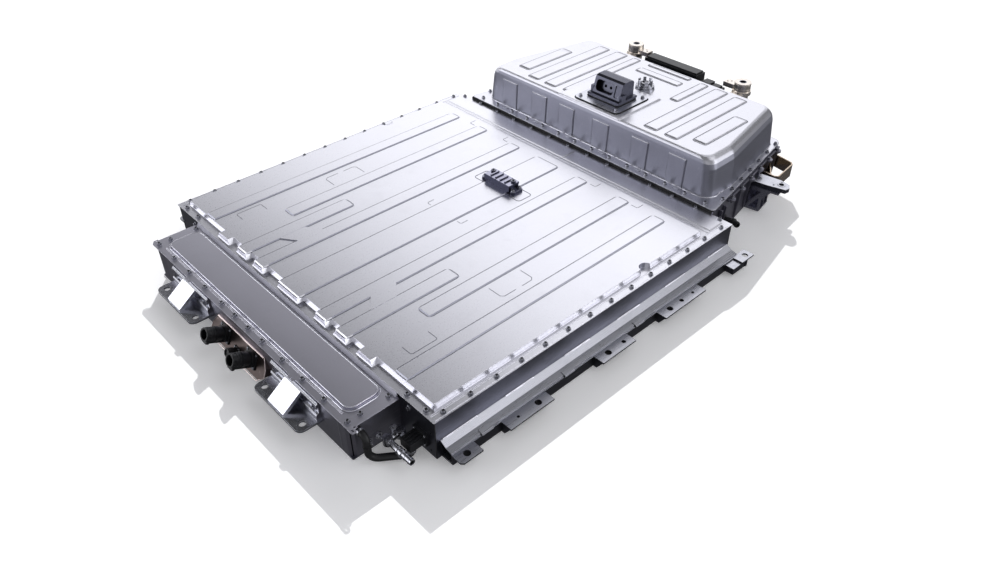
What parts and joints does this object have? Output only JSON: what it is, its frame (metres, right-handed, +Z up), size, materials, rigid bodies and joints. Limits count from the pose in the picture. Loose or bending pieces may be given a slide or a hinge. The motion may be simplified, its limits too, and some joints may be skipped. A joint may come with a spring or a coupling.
{
  "type": "electric vehicle battery pack",
  "caption": "Flat traction battery pack for a car: aluminium case with beaded lids, a deep rear cover, power sockets, coolant fittings and side rails with bolt tabs.",
  "frame": {"origin": "middle of the overall box, on the underside of the floor plate", "axes": "+Z up; -Y towards the front of the vehicle, where the power sockets are; +X to the side with the coolant nozzle"},
  "size_m": [1.34, 1.9192, 0.3315],
  "materials": {
    "case_aluminium": "satin rolled and extruded aluminium",
    "rail_aluminium": "bright satin extruded aluminium",
    "cast_frame": "dull grey cast and machined aluminium",
    "lid_sheet": "fine grained satin aluminium sheet",
    "nose_lid_sheet": "grey satin aluminium sheet",
    "seal_rubber": "black foamed rubber seal",
    "bracket_casting": "bright machined aluminium",
    "connector_casting": "bronze tinted cast aluminium",
    "socket_plastic": "black glass filled plastic",
    "coolant_plastic": "black plastic",
    "fitting_steel": "plated steel",
    "hose_rubber": "black hose rubber",
    "dark_casting": "dark cast aluminium",
    "mount_casting": "champagne tinted cast aluminium",
    "black_tube": "black powder coat",
    "stay_steel": "bronze passivated folded steel",
    "bolt_steel": "zinc plated steel",
    "module_case": "blue grey coated aluminium",
    "copper": "bare copper bar"
  },
  "bodies": {
    "root": {"tray_floor": "case_aluminium", "side_beam_left": "case_aluminium", "side_beam_right": "case_aluminium", "front_beam": "case_aluminium", "rear_beam": "case_aluminium", "cross_beam_1": "case_aluminium", "cross_beam_2": "case_aluminium", "cross_beam_3": "case_aluminium", "centre_beams": "case_aluminium", "nose_frame": "cast_frame", "rear_frame": "cast_frame", "side_rail_left": "rail_aluminium", "side_rail_right": "rail_aluminium", "rear_tab_left": "rail_aluminium", "rear_tab_right": "rail_aluminium", "main_lid": "lid_sheet", "main_lid_gasket": "seal_rubber", "nose_lid": "nose_lid_sheet", "nose_lid_gasket": "seal_rubber", "hump_cover": "lid_sheet", "hump_gasket": "seal_rubber", "front_bracket_left": "bracket_casting", "front_bracket_right": "bracket_casting", "connector_panel": "connector_casting", "power_connector_left": "socket_plastic", "power_connector_right": "socket_plastic", "signal_connector": "socket_plastic", "coolant_manifold": "coolant_plastic", "coolant_tee": "fitting_steel", "coolant_hose": "hose_rubber", "lid_bridge": "dark_casting", "service_plug_base": "rail_aluminium", "service_plug": "dark_casting", "vent_valve": "fitting_steel", "rear_mount_left": "mount_casting", "rear_mount_right": "mount_casting", "rear_cross_tube": "black_tube", "rear_power_socket": "socket_plastic", "rear_signal_socket": "socket_plastic", "side_mount_left": "dark_casting", "side_mount_right": "dark_casting", "side_arm_left": "rail_aluminium", "side_arm_right": "rail_aluminium", "corner_stay_left": "stay_steel", "corner_stay_right": "stay_steel", "drain_elbow": "coolant_plastic", "main_lid_bolts": "bolt_steel", "nose_lid_bolts": "bolt_steel", "rear_section_bolts": "bolt_steel", "bracket_bolts": "bolt_steel", "module_row_1": "module_case", "module_row_2": "module_case", "module_row_3": "module_case", "module_row_4": "module_case", "rear_modules_lower": "module_case", "rear_modules_upper": "module_case", "cold_plates": "case_aluminium", "upper_deck": "case_aluminium", "junction_box": "socket_plastic", "busbars": "copper"}
  },
  "joints": []
}
